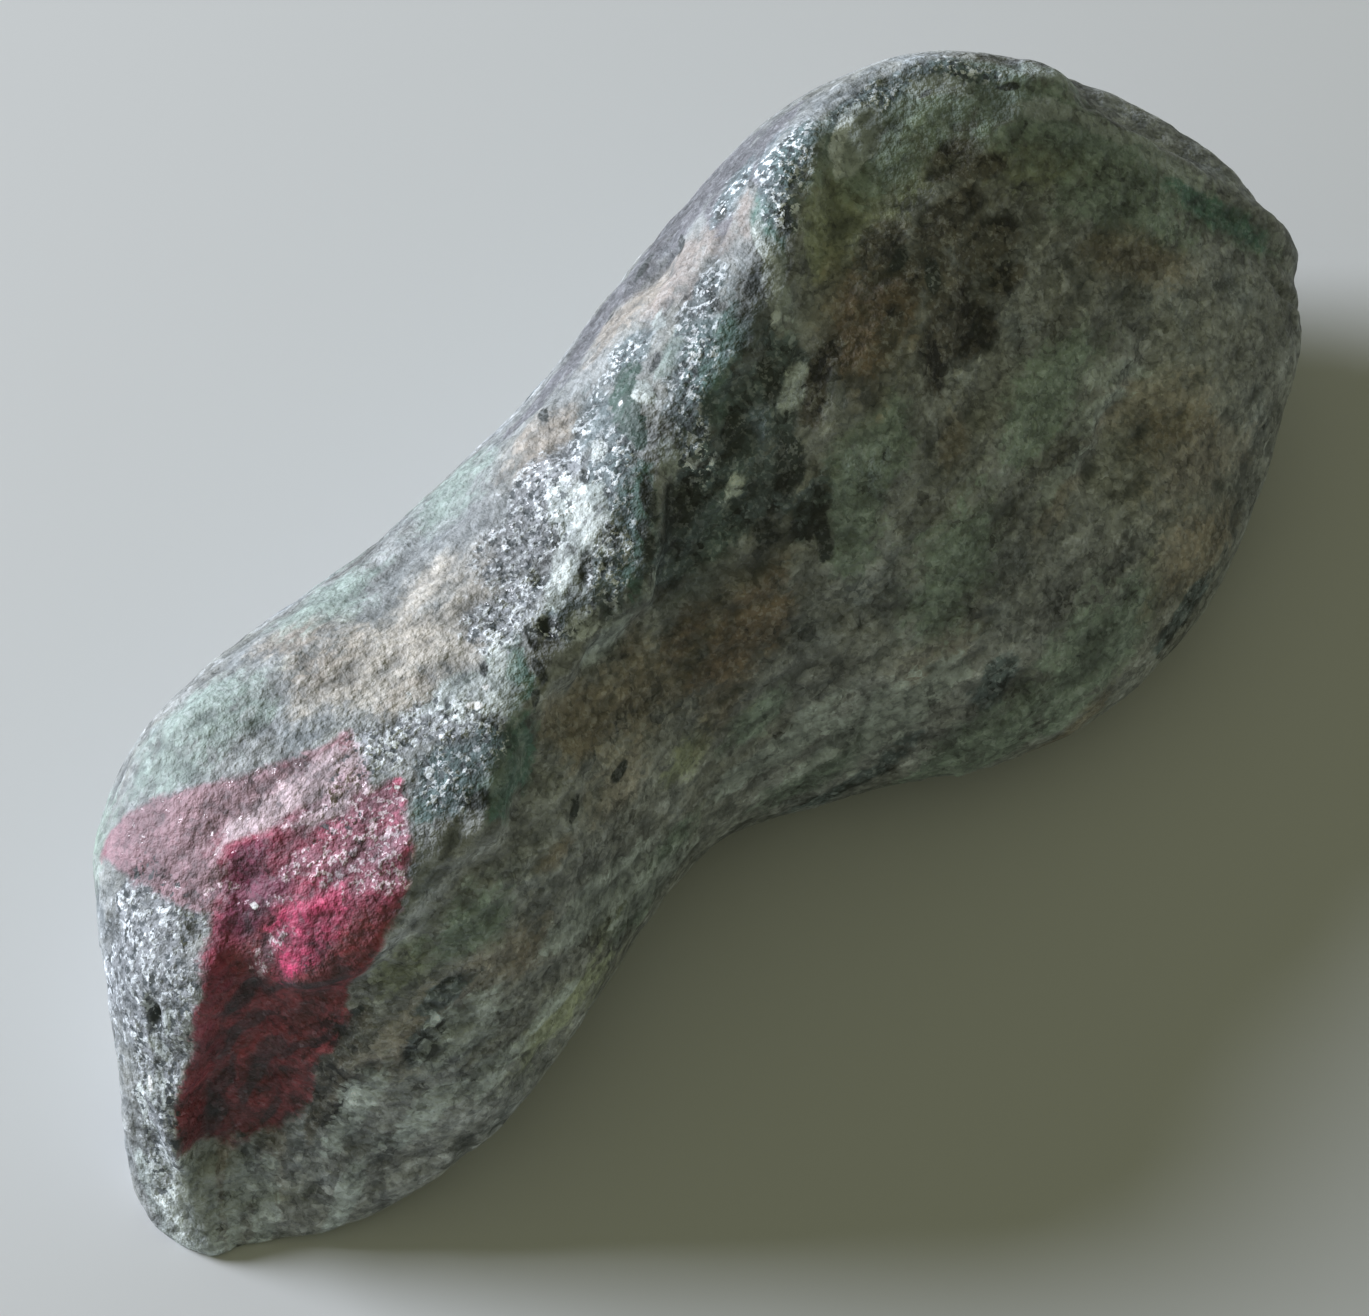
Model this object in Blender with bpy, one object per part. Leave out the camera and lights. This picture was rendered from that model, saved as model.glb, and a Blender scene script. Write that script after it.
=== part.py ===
# A worn stone of ruby in zoisite, 44 mm long: a wide head, a waist and a narrower tail.
#
# The frame is in metres. +Z is up, and z = 0 is the surface that the stone rests on. The
# origin is below the stone's middle. +X points along the stone to the narrow tail, which
# carries the ruby. The wide head is at -X. The front flank faces -Y, and the long slope on
# the back faces +Y.
#
# The stone is one solid. Twelve rails run from head to tail through a row of sections, and
# make a cage of four-sided faces. Subdivision Surface rounds the cage, and a box cuts the
# flat face that the stone rests on.

import bmesh
import bpy
from mathutils import Vector

# Driving dimensions, in metres
LENGTH = 0.0440
WIDTH = 0.0185
HEIGHT = 0.0142

# Sections across the stone, from head to tail. The first number is the section's place
# along the stone, in percent of LENGTH from the middle. Then come the four corners of the
# section, each with its side place in percent of WIDTH from the middle line, and its height
# in percent of HEIGHT. The last number is the height of the underside's middle, which is
# below zero where the stone rests.
#    along   front flank   front ridge   back ridge   back flank   underside
SECTIONS = [
    (-49.5, (-4, 39), (-1, 50), (9, 52), (20, 37), 26),
    (-47, (-20, 43), (-13, 62), (2, 66), (32, 35), 12),
    (-40, (-34.5, 46), (-30, 80), (-24, 92), (43, 31), -1),
    (-31, (-41.5, 48), (-39, 88), (-36, 100), (50, 28), -7),
    (-22, (-45, 48), (-37, 94), (-31, 104), (54, 26), -8),
    (-13, (-50, 47), (-27, 95), (-18, 101), (52, 25), -6),
    (-4, (-47, 46), (-22, 90), (-13, 94), (37, 24), -4),
    (5, (-47, 45), (-20, 87), (-9, 88), (20, 24), -3),
    (14, (-50, 44), (-20, 84), (-3, 87), (22, 24), -4),
    (23.5, (-52, 43), (-30, 82), (3, 88), (27.5, 23), -6),
    (33, (-48, 42), (-40, 78), (0, 81), (28.5, 20), -7),
    (40.5, (-38.5, 37), (-33, 65), (-18, 66), (21, 8), -7),
    (46, (-18, 24), (-16.5, 38), (-12, 29), (9.5, 1), -6),
    (49.2, (-14.5, 6), (-11.5, 11), (-4, 8), (6, 1), -6),
]
HEAD_TIP = (-50, 9, 42)
TAIL_TIP = (50, -6, 3)

# How a section is rounded out between its corners, in shares of the distance between them
FRONT_BULGE = 0.18
BACK_BULGE = 0.06
BACK_SLOPE_SHARES = (0.33, 0.68)

# How the flanks turn under. A foot lies in from its flank, at a share of the flank's distance
# from the section's middle, and a little above the underside's middle. A tuck is the point
# between a flank and its foot, at a share of the way in and a share of the way up.
FRONT_FOOT = 0.52
BACK_FOOT = 0.50
FOOT_RISE = 3
FRONT_TUCK = (0.22, 0.36)
BACK_TUCK = (0.26, 0.34)

SUBDIVISION = 2
CUTTER_MARGIN = 0.01

STONE_COLOR = (0.25, 0.28, 0.24, 1.0)
STONE_ROUGHNESS = 0.75


def clear_scene():
    for item in list(bpy.data.objects):
        bpy.data.objects.remove(item, do_unlink=True)


def stone_material():
    material = bpy.data.materials.new("zoisite")
    material.use_nodes = True
    shader = material.node_tree.nodes["Principled BSDF"]
    shader.inputs["Base Color"].default_value = STONE_COLOR
    shader.inputs["Roughness"].default_value = STONE_ROUGHNESS
    shader.inputs["Metallic"].default_value = 0.0
    return material


def bulged(start, end, share, bulge):
    """A point at a share of the way from start to end, moved out square to that line."""
    line = end - start
    outward = Vector((-line.y, line.x))
    return start + line * share + outward * bulge


def turned_under(flank, middle, underside, foot_share, tuck):
    """The tuck and the foot below a flank, as (side, height) points."""
    foot = Vector((middle + (flank.x - middle) * foot_share, underside + FOOT_RISE))
    share_in, share_up = tuck
    tuck_point = Vector((flank.x + (foot.x - flank.x) * share_in,
                         foot.y + (flank.y - foot.y) * share_up))
    return tuck_point, foot


def section_ring(front_flank, front_ridge, back_ridge, back_flank, underside):
    """The twelve rail points of one section as (side, height), from the middle of the
    underside up the back, over the ridges and down the front."""
    front = Vector(front_flank)
    back = Vector(back_flank)
    crest_front = Vector(front_ridge)
    crest_back = Vector(back_ridge)
    middle = (front.x + back.x) / 2
    tuck_front, foot_front = turned_under(front, middle, underside, FRONT_FOOT, FRONT_TUCK)
    tuck_back, foot_back = turned_under(back, middle, underside, BACK_FOOT, BACK_TUCK)
    high_share, low_share = BACK_SLOPE_SHARES
    return [
        Vector((middle, underside)),
        foot_back,
        tuck_back,
        back,
        bulged(crest_back, back, low_share, BACK_BULGE),
        bulged(crest_back, back, high_share, BACK_BULGE),
        crest_back,
        crest_front,
        bulged(front, crest_front, 0.5, FRONT_BULGE),
        front,
        tuck_front,
        foot_front,
    ]


def at_size(along, side, height):
    """A place in percent of the driving dimensions, as a place in metres."""
    return Vector((along * LENGTH, side * WIDTH, height * HEIGHT)) / 100


def cage_mesh():
    """The cage: a ring of points for each section, faces between neighbouring rings, and a
    fan of triangles to the tip at each end."""
    cage = bmesh.new()
    rings = []
    for along, *outline in SECTIONS:
        ring = [cage.verts.new(at_size(along, *point)) for point in section_ring(*outline)]
        rings.append(ring)
    head = cage.verts.new(at_size(*HEAD_TIP))
    tail = cage.verts.new(at_size(*TAIL_TIP))
    count = len(rings[0])
    for k in range(count):
        following = (k + 1) % count
        for ring, further in zip(rings, rings[1:]):
            cage.faces.new((ring[k], ring[following], further[following], further[k]))
        cage.faces.new((head, rings[0][following], rings[0][k]))
        cage.faces.new((tail, rings[-1][k], rings[-1][following]))
    bmesh.ops.recalc_face_normals(cage, faces=cage.faces)
    mesh = bpy.data.meshes.new("stone")
    cage.to_mesh(mesh)
    cage.free()
    mesh.shade_smooth()
    return mesh


def fit_to_dimensions(stone):
    """Scale and centre the cage so that its rounded surface is LENGTH long and WIDTH wide,
    and its top is HEIGHT above the resting face."""
    view = bpy.context.evaluated_depsgraph_get()
    rounded = stone.evaluated_get(view).to_mesh()
    points = [vertex.co.copy() for vertex in rounded.vertices if vertex.co.z > 0]
    stone.evaluated_get(view).to_mesh_clear()
    lowest = Vector([min(point[axis] for point in points) for axis in range(3)])
    highest = Vector([max(point[axis] for point in points) for axis in range(3)])
    stretch = Vector((LENGTH / (highest.x - lowest.x),
                      WIDTH / (highest.y - lowest.y),
                      HEIGHT / highest.z))
    middle = Vector(((lowest.x + highest.x) / 2, (lowest.y + highest.y) / 2, 0))
    for vertex in stone.data.vertices:
        moved = vertex.co - middle
        vertex.co = Vector([moved[axis] * stretch[axis] for axis in range(3)])


def resting_face_cutter():
    """A box whose top face is the plane that the stone rests on."""
    bpy.ops.mesh.primitive_cube_add(size=1)
    cutter = bpy.context.object
    cutter.name = "resting_face_cutter"
    size = Vector((LENGTH, WIDTH, HEIGHT)) + Vector((1, 1, 1)) * CUTTER_MARGIN
    for vertex in cutter.data.vertices:
        vertex.co = Vector([vertex.co[axis] * size[axis] for axis in range(3)])
        vertex.co.z -= size.z / 2
    cutter.hide_render = True
    cutter.display_type = "WIRE"
    return cutter


def add_stone():
    stone = bpy.data.objects.new("stone", cage_mesh())
    bpy.context.collection.objects.link(stone)
    stone.data.materials.append(stone_material())
    rounding = stone.modifiers.new("rounding", "SUBSURF")
    rounding.levels = SUBDIVISION
    rounding.render_levels = SUBDIVISION
    fit_to_dimensions(stone)
    cut = stone.modifiers.new("resting face", "BOOLEAN")
    cut.operation = "DIFFERENCE"
    cut.solver = "EXACT"
    cut.object = resting_face_cutter()
    return stone


clear_scene()
add_stone()
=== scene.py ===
import bpy
import numpy as np
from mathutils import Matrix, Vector


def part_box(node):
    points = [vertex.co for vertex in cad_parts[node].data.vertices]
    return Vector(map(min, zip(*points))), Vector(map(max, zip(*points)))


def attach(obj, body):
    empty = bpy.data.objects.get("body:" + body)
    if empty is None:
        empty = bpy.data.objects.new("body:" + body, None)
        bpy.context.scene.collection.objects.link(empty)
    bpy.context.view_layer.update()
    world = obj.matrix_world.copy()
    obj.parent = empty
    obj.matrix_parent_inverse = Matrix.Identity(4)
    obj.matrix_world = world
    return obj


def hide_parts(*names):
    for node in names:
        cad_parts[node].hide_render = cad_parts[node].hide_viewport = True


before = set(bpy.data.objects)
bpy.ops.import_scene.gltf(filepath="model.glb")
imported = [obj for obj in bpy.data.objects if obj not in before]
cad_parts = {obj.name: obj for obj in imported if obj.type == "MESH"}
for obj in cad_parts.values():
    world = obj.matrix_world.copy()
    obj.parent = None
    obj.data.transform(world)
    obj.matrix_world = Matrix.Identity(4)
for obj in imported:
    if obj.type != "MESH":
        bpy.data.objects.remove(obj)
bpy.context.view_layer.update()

mm = 0.001


# the stone's form, on the same sections as its solid

stoneForm = {
    # place along the stone in percent of its length from the middle, then the four corners of
    # the section as (side, height) in percent of width and height: front flank, front ridge,
    # back ridge, back flank; the last number is the height of the underside's middle
    "sections": [
        (-49.5, (-4, 39), (-1, 50), (9, 52), (20, 37), 26),
        (-47, (-20, 43), (-13, 62), (2, 66), (32, 35), 12),
        (-40, (-34.5, 46), (-30, 80), (-24, 92), (43, 31), -1),
        (-31, (-41.5, 48), (-39, 88), (-36, 100), (50, 28), -7),
        (-22, (-45, 48), (-37, 94), (-31, 104), (54, 26), -8),
        (-13, (-50, 47), (-27, 95), (-18, 101), (52, 25), -6),
        (-4, (-47, 46), (-22, 90), (-13, 94), (37, 24), -4),
        (5, (-47, 45), (-20, 87), (-9, 88), (20, 24), -3),
        (14, (-50, 44), (-20, 84), (-3, 87), (22, 24), -4),
        (23.5, (-52, 43), (-30, 82), (3, 88), (27.5, 23), -6),
        (33, (-48, 42), (-40, 78), (0, 81), (28.5, 20), -7),
        (40.5, (-38.5, 37), (-33, 65), (-18, 66), (21, 8), -7),
        (46, (-18, 24), (-16.5, 38), (-12, 29), (9.5, 1), -6),
        (49.2, (-14.5, 6), (-11.5, 11), (-4, 8), (6, 1), -6),
    ],
    "headTip": (-50, 9, 42),
    "tailTip": (50, -6, 3),
    "frontBulge": 0.18,
    "backBulge": 0.06,
    "backSlopeShares": (0.68, 0.33),
    "frontFoot": 0.52,
    "backFoot": 0.50,
    "footRise": 3,
    "frontTuck": (0.22, 0.36),
    "backTuck": (0.26, 0.34),
    "stepsAlong": 345,
    "stepsAround": 286,
    "coarseAlong": 240,   # steps for measuring the surface before its even steps are set
    "coarseAround": 193,
    "undersideRails": (1.6, 10.4),   # under the stone is before the first and past the second
    "crestRail": 6.5,
    "undersideDensity": 0.45,   # how close the steps lie under the stone, against 1 on top
}


# a point at a share of the way from start to end, moved out square to that line
def bulged(start, end, share, bulge):
    line = end - start
    return start + line * share + np.array([-line[1], line[0]]) * bulge


# the tuck and the foot below a flank: the foot lies in towards the middle, just above the
# underside, and the tuck lies between flank and foot
def turnedUnder(flank, middle, underside, footShare, tuck, rise):
    foot = np.array([middle + (flank[0] - middle) * footShare, underside + rise])
    tuckPoint = np.array([flank[0] + (foot[0] - flank[0]) * tuck[0],
                          foot[1] + (flank[1] - foot[1]) * tuck[1]])
    return tuckPoint, foot


# the twelve rail points of one section, from the middle of the underside up the back, over
# the two ridges and down the front
def sectionRing(form, section):
    along, front, crestFront, crestBack, back, underside = section
    front, crestFront, crestBack, back = [np.array(p, float)
                                          for p in (front, crestFront, crestBack, back)]
    middle = (front[0] + back[0]) / 2
    tuckFront, footFront = turnedUnder(front, middle, underside, form["frontFoot"],
                                       form["frontTuck"], form["footRise"])
    tuckBack, footBack = turnedUnder(back, middle, underside, form["backFoot"],
                                     form["backTuck"], form["footRise"])
    lowShare, highShare = form["backSlopeShares"]
    ring = [np.array([middle, underside]), footBack, tuckBack, back,
            bulged(crestBack, back, lowShare, form["backBulge"]),
            bulged(crestBack, back, highShare, form["backBulge"]),
            crestBack, crestFront,
            bulged(front, crestFront, 0.5, form["frontBulge"]),
            front, tuckFront, footFront]
    return [(along, point[0], point[1]) for point in ring]


# the cage as rows of twelve points, with a row gathered in each tip and, past it, a row
# mirrored through the tip, so that the rounded surface closes exactly on the tips
def cageRows(form):
    rings = np.array([sectionRing(form, section) for section in form["sections"]])
    head = np.broadcast_to(np.array(form["headTip"], float), (1,) + rings.shape[1:])
    tail = np.broadcast_to(np.array(form["tailTip"], float), (1,) + rings.shape[1:])
    return np.concatenate([2 * head - rings[:1], head, rings, tail, 2 * tail - rings[-1:]])


# the four weights of a uniform cubic B-spline at each place between its knots
def splineWeights(share):
    return np.stack([(1 - share) ** 3, 3 * share ** 3 - 6 * share ** 2 + 4,
                     -3 * share ** 3 + 3 * share ** 2 + 3 * share + 1, share ** 3]) / 6


# rows blended by the B-spline at each place, counted in rows from the second one
def splineAlong(rows, places):
    start = np.clip(np.floor(places).astype(int), 0, len(rows) - 4)
    weights = splineWeights(places - start)
    return sum(weights[k][:, None, None] * rows[start + k] for k in range(4))


# the closed surface: blended along the rows, then around the rails, which wrap round
def roundedSurface(rows, along, around):
    lengthwise = np.swapaxes(splineAlong(rows, along), 0, 1)
    wrapped = np.concatenate([lengthwise[-1:], lengthwise, lengthwise[:2]])
    return np.swapaxes(splineAlong(wrapped, around), 0, 1)


# places that cut a path into equal lengths, from the lengths between its knots
def evenPlaces(knots, lengths, count):
    travelled = np.concatenate([[0], np.cumsum(lengths)])
    return np.interp(np.linspace(0, travelled[-1], count), travelled, knots)


# moves and stretches the points so that they fill the box above the surface they rest on
def fitted(points, low, high):
    above = points[points[..., 2] > 0]
    lowest, highest = above.min(0), above.max(0)
    stretch = np.array([(high[0] - low[0]) / (highest[0] - lowest[0]),
                        (high[1] - low[1]) / (highest[1] - lowest[1]),
                        high[2] / highest[2]])
    middle = np.array([(lowest[0] + highest[0]) / 2, (lowest[1] + highest[1]) / 2, 0])
    return (points - middle) * stretch


# the grid of the stone's plain form in metres, and the place of each column on the rails
def plainStone(form, low, high):
    rows = cageRows(form)
    coarseAlong = np.linspace(0, len(rows) - 3, form["coarseAlong"])
    coarseAround = np.linspace(0, 12, form["coarseAround"])
    coarse = fitted(roundedSurface(rows, coarseAlong - 1e-9, coarseAround % 12), low, high)
    stepLengths = np.linalg.norm(np.diff(coarse, axis=0), axis=2).mean(1)
    along = evenPlaces(coarseAlong, stepLengths, form["stepsAlong"] + 2)[1:-1]
    aroundLengths = np.linalg.norm(np.diff(coarse, axis=1), axis=2).mean(0)
    middles = (coarseAround[1:] + coarseAround[:-1]) / 2
    lastUnder, firstUnder = form["undersideRails"]
    isUnder = (middles < lastUnder) | (middles > firstUnder)
    aroundLengths = aroundLengths * np.where(isUnder, form["undersideDensity"], 1)
    around = evenPlaces(coarseAround, aroundLengths, form["stepsAround"] + 1)[:-1]
    return fitted(roundedSurface(rows, along, around), low, high), around


# outward normals of the grid, from the cross product of its directions around and along
def gridNormals(points):
    lengthwise = np.gradient(points, axis=0)
    sideways = np.roll(points, -1, axis=1) - np.roll(points, 1, axis=1)
    normals = np.cross(sideways, lengthwise)
    return normals / np.maximum(np.linalg.norm(normals, axis=2, keepdims=True), 1e-12)


# first and second coordinates on axes turned by some degrees
def turnedAxes(places, turn):
    angle = np.radians(turn)
    return (places[..., 0] * np.cos(angle) + places[..., 1] * np.sin(angle),
            places[..., 1] * np.cos(angle) - places[..., 0] * np.sin(angle))


# the lattice cube that holds each point, and the point's place inside it as shares of the cell
def latticePlaces(points, cell, stretch, turn):
    forward, sideways = turnedAxes(points, turn)
    places = np.stack([forward / stretch, sideways, points[..., 2]], -1) / (cell * mm)
    corner = np.floor(places).astype(int)
    return corner, places - corner


# smooth noise between about -1 and 1: random values on a lattice of cubes, blended with a
# soft step; stretch makes the cubes longer along the stone, on an axis turned by some degrees
def latticeNoise(points, cell, seed, stretch=1.0, turn=0.0):
    corner, share = latticePlaces(points, cell, stretch, turn)
    corner = corner - corner.reshape(-1, 3).min(0)
    size = corner.reshape(-1, 3).max(0) + 2
    values = np.random.default_rng(seed).uniform(-1, 1, size)
    soft = share ** 3 * (share * (share * 6 - 15) + 10)
    total = 0
    for dx in (0, 1):
        for dy in (0, 1):
            for dz in (0, 1):
                weight = (np.where(dx, soft[..., 0], 1 - soft[..., 0])
                          * np.where(dy, soft[..., 1], 1 - soft[..., 1])
                          * np.where(dz, soft[..., 2], 1 - soft[..., 2]))
                total = total + weight * values[corner[..., 0] + dx, corner[..., 1] + dy,
                                                corner[..., 2] + dz]
    return total


# distance to the nearest and the second nearest of points scattered one in each cube of a
# lattice, in cells: grains are where the first is small, grooves where the two are equal
def scatterDistances(points, cell, seed, stretch, turn):
    corner, share = latticePlaces(points, cell, stretch, turn)
    corner = corner - corner.reshape(-1, 3).min(0) + 1
    size = corner.reshape(-1, 3).max(0) + 2
    scattered = np.random.default_rng(seed).uniform(0, 1, (*size, 3))
    nearest = np.full(points.shape[:2], 9.0)
    second = nearest
    for step in np.ndindex(3, 3, 3):
        offset = np.array(step) - 1
        neighbour = corner + offset
        spot = scattered[neighbour[..., 0], neighbour[..., 1], neighbour[..., 2]] + offset
        distance = np.linalg.norm(spot - share, axis=2)
        second = np.minimum(second, np.maximum(nearest, distance))
        nearest = np.minimum(nearest, distance)
    return nearest, second


# the stone's skin laid out flat, in mm: the first number runs towards the tail, the second
# around towards the front, from the crest rail; both follow the lengths of the grid's steps
def flatMap(points, around, crestRail):
    stepLengths = np.linalg.norm(np.diff(points, axis=0), axis=2).mean(1)
    travelled = np.concatenate([[0], np.cumsum(stepLengths)]) / mm
    closed = np.concatenate([points, points[:, :1]], axis=1)
    widths = np.linalg.norm(np.diff(closed, axis=1), axis=2)[:, :-1]
    across = np.concatenate([np.zeros((len(points), 1)), np.cumsum(widths, axis=1)], axis=1) / mm
    crest = np.argmin(abs(around - crestRail))
    across = across - across[:, crest:crest + 1]
    lengthwise = np.broadcast_to(travelled[:, None] - travelled[-1] / 2, across.shape)
    return np.stack([lengthwise, across], -1)


# the flat place of a spot given by its percent of the length and its rail
def flatSpot(points, around, skin, along, rail):
    column = np.argmin(abs(around - rail))
    low, high = points[..., 0].min(), points[..., 0].max()
    target = (low + high) / 2 + along / 100 * (high - low)
    row = np.argmin(abs(points[:, column, 0] - target))
    return skin[row, column]


# how close each place is to the middle of a turned oval: 1 in its middle, 0 on its edge,
# falling on to -1 outside
def ovalCloseness(skin, spot, length, width, turn=0.0):
    forward, sideways = turnedAxes(skin - spot, turn)
    return np.maximum(1 - np.sqrt((forward / length) ** 2 + (sideways / width) ** 2), -1)


# distance to a path in mm, positive on its left when walking along it, with the share of the
# path's length at the nearest place
def pathDistance(skin, path):
    path = np.array(path)
    best = np.full(skin.shape[:2], np.inf)
    signed = np.zeros(skin.shape[:2])
    share = np.zeros(skin.shape[:2])
    lengths = np.linalg.norm(np.diff(path, axis=0), axis=1)
    for k in range(len(path) - 1):
        line = path[k + 1] - path[k]
        away = skin - path[k]
        reached = np.clip((away @ line) / (line @ line), 0, 1)
        gap = away - reached[..., None] * line
        distance = np.linalg.norm(gap, axis=2)
        side = np.sign(line[0] * away[..., 1] - line[1] * away[..., 0])
        closer = distance < best
        best = np.where(closer, distance, best)
        signed = np.where(closer, distance * side, signed)
        share = np.where(closer, (lengths[:k].sum() + reached * lengths[k]) / lengths.sum(), share)
    return signed, share


# distance inside a closed outline in mm, negative outside: the nearest edge, with the sign
# from counting the edges crossed on the way out
def insideDistance(skin, outline):
    outline = np.array(outline)
    nearest, _ = pathDistance(skin, np.concatenate([outline, outline[:1]]))
    inside = np.zeros(skin.shape[:2], bool)
    for start, end in zip(outline, np.roll(outline, -1, axis=0)):
        spans = (start[1] > skin[..., 1]) != (end[1] > skin[..., 1])
        rise = end[1] - start[1] if end[1] != start[1] else 1
        crossing = start[0] + (skin[..., 1] - start[1]) / rise * (end[0] - start[0])
        inside ^= spans & (skin[..., 0] < crossing)
    return np.where(inside, abs(nearest), -abs(nearest))


# a soft step from 0 to 1 between two values
def softStep(low, high, value):
    share = np.clip((value - low) / (high - low), 0, 1)
    return share * share * (3 - 2 * share)


# the small landforms: places are percent of the length and rail number, sizes in mm
stoneLandforms = {
    # lumps and hollows: along, rail, length, width, turn in degrees, height
    "lumps": [
        (-3.7, 6.80, 1.1, 0.7, -40, 0.22), (-20.1, 6.26, 1.6, 1.0, -45, 0.14),
        (-15.3, 6.18, 1.2, 0.9, -45, 0.10), (-24.5, 6.21, 0.9, 0.8, 0, 0.14),
        (5.7, 6.22, 2.0, 1.0, -30, 0.12), (10.9, 6.05, 0.6, 0.45, -45, -0.22),
        (8.8, 6.52, 0.40, 0.30, -45, -0.18), (7.0, 6.09, 0.35, 0.25, -45, -0.14),
        (42.0, 6.40, 2.6, 1.8, 30, 0.35), (42.8, 6.17, 0.50, 0.42, 0, -0.34),
        (36.0, 6.25, 1.2, 0.9, 20, -0.18), (33.3, 5.93, 1.0, 0.8, 0, 0.12),
        (28.3, 5.91, 1.1, 0.6, 0, 0.14), (34.2, 6.60, 1.4, 0.7, 0, -0.10),
        (-21.4, 4.81, 2.8, 2.0, 20, -0.30), (-26.2, 5.00, 1.6, 1.0, -45, -0.14),
        (-9.3, 5.17, 1.6, 1.2, 0, -0.16), (-1.3, 5.39, 1.4, 0.9, 0, -0.14),
        (3.6, 4.71, 1.5, 0.9, 0, 0.12), (-12.3, 4.89, 1.0, 0.8, 0, 0.12),
        (-40.2, 5.90, 1.4, 0.8, 0, 0.20), (-34.7, 6.12, 1.4, 0.8, 0, 0.16),
        (-45.3, 6.20, 2.8, 2.6, 0, -0.80), (-42.2, 6.15, 1.4, 1.0, 0, 0.30),
        (-48.2, 4.05, 2.8, 1.9, 0, 0.40), (-46.0, 3.51, 0.9, 0.7, 60, -0.26),
        (-11.0, 3.18, 1.5, 0.7, 0, 0.20), (-19.1, 3.18, 1.2, 0.7, 0, -0.16),
        (26.9, 3.30, 2.0, 0.8, 0, -0.16), (32.5, 4.24, 1.3, 0.8, 0, 0.12),
        (15.3, 4.97, 0.9, 0.5, -45, -0.14), (21.4, 7.31, 2.2, 1.2, 0, 0.14),
        (-0.4, 7.58, 2.0, 1.2, 0, 0.16), (-13.5, 7.50, 2.0, 1.2, 0, -0.14),
        (8.6, 7.80, 2.0, 1.2, 0, -0.14), (30.2, 7.34, 1.6, 1.0, 0, 0.12),
    ],
    # creases: path of (along, rail), drop on the path's right, how far it takes to drop, how
    # far to come back up, and how far its ends take to fade in
    "creases": [
        ([(-27.5, 6.18), (-24.2, 6.06), (-21.5, 5.97), (-17, 5.93), (-15.1, 5.90), (-13.2, 6.02),
          (-11.2, 5.97), (-8.7, 6.10), (-6.5, 6.06), (-5.3, 5.93), (-3.6, 5.96), (-1.6, 6.14),
          (0.3, 5.93), (1.6, 5.74), (3.7, 5.64), (5.1, 5.52), (7.3, 5.58), (9.8, 5.80),
          (11.7, 5.75), (14.2, 5.86), (16.5, 5.90)], 0.28, 0.7, 3.6, 0.06),
        ([(16.5, 5.94), (18.2, 6.02), (19.6, 5.92), (21.3, 5.79), (22.8, 5.67), (24.1, 5.62),
          (26.5, 5.70), (27.9, 5.80), (28.9, 5.70), (30.8, 5.58), (33.9, 5.49), (36.2, 5.49),
          (37.9, 5.61), (38.8, 5.81)], 0.22, 0.8, 4.2, 0.06),
        ([(38.0, 5.94), (38.8, 5.82), (40.2, 5.70), (41.6, 5.58), (43.1, 5.56), (44.6, 5.55),
          (45.8, 5.53), (46.8, 5.58), (47.8, 5.68)], 0.35, 0.7, 7.0, 0.25),
        ([(-34.6, 4.29), (-29.9, 4.15), (-25.1, 4.13), (-21.3, 4.09)], 0.34, 0.6, 2.6, 0.2),
        ([(36.4, 6.40), (37.0, 6.28), (37.7, 6.14), (38.8, 5.95)], 0.14, 0.4, 1.8, 0.2),
        ([(48.0, 5.25), (47.3, 4.78), (46.1, 4.45), (44.8, 4.32), (43.4, 4.19), (42.1, 4.10)],
         0.34, 0.8, 4.2, 0.25),
        ([(47.6, 4.15), (46.5, 3.76), (44.5, 3.54), (42.8, 3.48), (41.1, 3.44)],
         0.12, 0.35, 1.8, 0.3),
        ([(41.2, 2.84), (39.5, 3.05), (37.8, 3.10), (35.7, 2.85)], 0.16, 0.4, 1.8, 0.2),
    ],
    # ridges: path of (along, rail), rise, how far before its right side it starts to rise, how
    # far past it it falls, and how far its ends take to fade in
    "ridges": [
        ([(-1.6, 6.08), (0.3, 5.96), (1.6, 5.80), (3.7, 5.72), (5.1, 5.60), (7.3, 5.64),
          (9.8, 5.80), (11.7, 5.74), (14.2, 5.84), (16.5, 5.88), (18.2, 5.94), (19.6, 5.82),
          (21.3, 5.69), (22.8, 5.58), (24.1, 5.54), (26.5, 5.60), (28.9, 5.60), (30.8, 5.50),
          (33.9, 5.41), (36.2, 5.43), (37.9, 5.55)], 0.40, 2.6, 0.8, 0.06),
        ([(1.6, 5.80), (3.7, 5.72), (5.1, 5.60), (7.3, 5.64), (9.8, 5.80)], 0.22, 2.0, 0.8, 0.3),
        ([(17.0, 5.85), (19.6, 5.76), (21.3, 5.66), (22.8, 5.58), (24.6, 5.56)],
         0.26, 2.0, 0.8, 0.3),
        ([(38.2, 6.10), (40.2, 5.80), (41.7, 5.68), (43.3, 5.62), (44.9, 5.56), (46.4, 5.51),
          (47.6, 5.40)], 0.62, 2.4, 0.6, 0.15),
    ],
}


stoneRelief = {
    # cell size, height, how far the cells stretch along the stone, seed
    "layers": [
        (5.0, 0.20, 1.2, 11),
        (2.4, 0.12, 1.4, 12),
    ],
    # the finer layers also paint shade on the rock: its tops are painted paler, its dents darker
    "fineLayers": [
        (1.1, 0.040, 1.8, 13),
        (0.6, 0.022, 1.8, 14),
        (0.32, 0.014, 1.4, 15),
    ],
    "streakTurn": -10,
    # rounded grains with grooves between them: cell size, height, stretch, seed
    "grains": [
        (1.30, 0.036, 1.4, 41),
        (0.62, 0.018, 1.2, 42),
    ],
    # little pits where a noise is high: cell size, depth, from, to, seed
    "pits": [
        (0.8, 0.08, 0.56, 0.90, 21),
        (0.45, 0.05, 0.50, 0.90, 22),
    ],
}


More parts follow.
